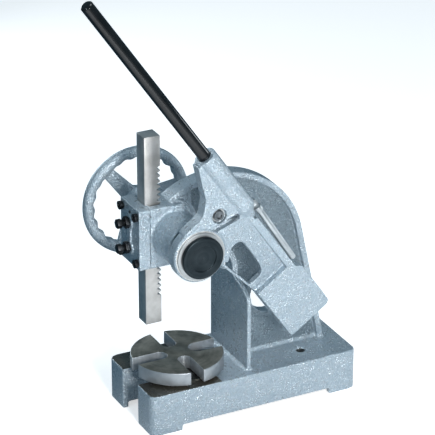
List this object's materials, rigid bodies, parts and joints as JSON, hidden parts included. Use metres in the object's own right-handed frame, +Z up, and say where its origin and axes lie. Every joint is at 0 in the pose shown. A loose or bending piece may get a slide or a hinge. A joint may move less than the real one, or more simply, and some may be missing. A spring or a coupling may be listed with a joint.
{
  "type": "arbor press",
  "caption": "Bench arbor press with a rack ram, a counterweighted ratchet lever, a handwheel and a slotted turning table.",
  "frame": {"origin": "middle of the whole press's outline, on the bench", "axes": "+X towards the lever, +Y towards the rear of the base, +Z up"},
  "size_m": [0.376, 0.6808, 1.0655],
  "materials": {
    "painted_casting": "hammertone",
    "machined_iron": "machined",
    "ground_steel": "ground",
    "black_oxide": "black oxide",
    "black_handle": "gloss black",
    "bronze": "turned"
  },
  "bodies": {
    "frame": {"base_casting": "painted_casting", "upright_casting": "painted_casting", "head_casting": "painted_casting", "front_cover": "painted_casting", "gib_plate": "bronze", "oiler": "ground_steel", "cover_screw_1": "black_oxide", "cover_screw_2": "black_oxide", "cover_screw_3": "black_oxide", "cover_screw_4": "black_oxide", "cover_dowel_1": "ground_steel", "cover_dowel_2": "ground_steel", "adjusting_screw_upper": "black_oxide", "lock_nut_upper": "black_oxide", "adjusting_screw_lower": "black_oxide", "lock_nut_lower": "black_oxide", "bush_lever_side": "bronze", "bush_wheel_side": "bronze", "table_pin": "ground_steel"},
    "table": {"table_plate": "machined_iron"},
    "ram": {"ram": "ground_steel"},
    "pinion": {"pinion_shaft": "ground_steel", "ratchet_wheel": "machined_iron", "ratchet_key": "ground_steel", "thrust_ring": "ground_steel", "end_cap": "black_oxide", "wheel_spacer": "ground_steel", "handwheel": "painted_casting", "handwheel_key": "ground_steel", "handwheel_washer": "ground_steel", "handwheel_nut": "black_oxide"},
    "lever": {"lever_arm": "painted_casting", "lever_bush": "bronze", "handle_bar": "black_handle", "handle_set_screw": "black_oxide", "pawl_screw": "black_oxide"},
    "pawl": {"pawl": "machined_iron", "release_bar": "ground_steel", "pawl_spring": "ground_steel"}
  },
  "joints": [
    {"name": "pinion_spin", "type": "hinge", "parent": "frame", "child": "pinion", "pos_m": [0.003, -0.08344, 0.451], "axis": [1, 0, 0], "range_deg": [-300, 200]},
    {"name": "ram_slide", "type": "slide", "parent": "frame", "child": "ram", "axis": [0, 0, -1], "range_m": [-0.126, 0.084]},
    {"name": "lever_swing", "type": "hinge", "parent": "frame", "child": "lever", "pos_m": [0.003, -0.08344, 0.451], "axis": [1, 0, 0], "range_deg": [-70, 80]},
    {"name": "pawl_swing", "type": "hinge", "parent": "lever", "child": "pawl", "pos_m": [0.147, -0.03536, 0.53276], "axis": [1, 0, 0], "range_deg": [0, 3.4]},
    {"name": "table_turn", "type": "hinge", "parent": "frame", "child": "table", "pos_m": [0.003, -0.05864, 0.1], "axis": [0, 0, 1], "continuous": true}
  ],
  "couplings": [
    {"joint": "ram_slide", "follows": "pinion_spin", "m_per_rad": 0.024}
  ]
}
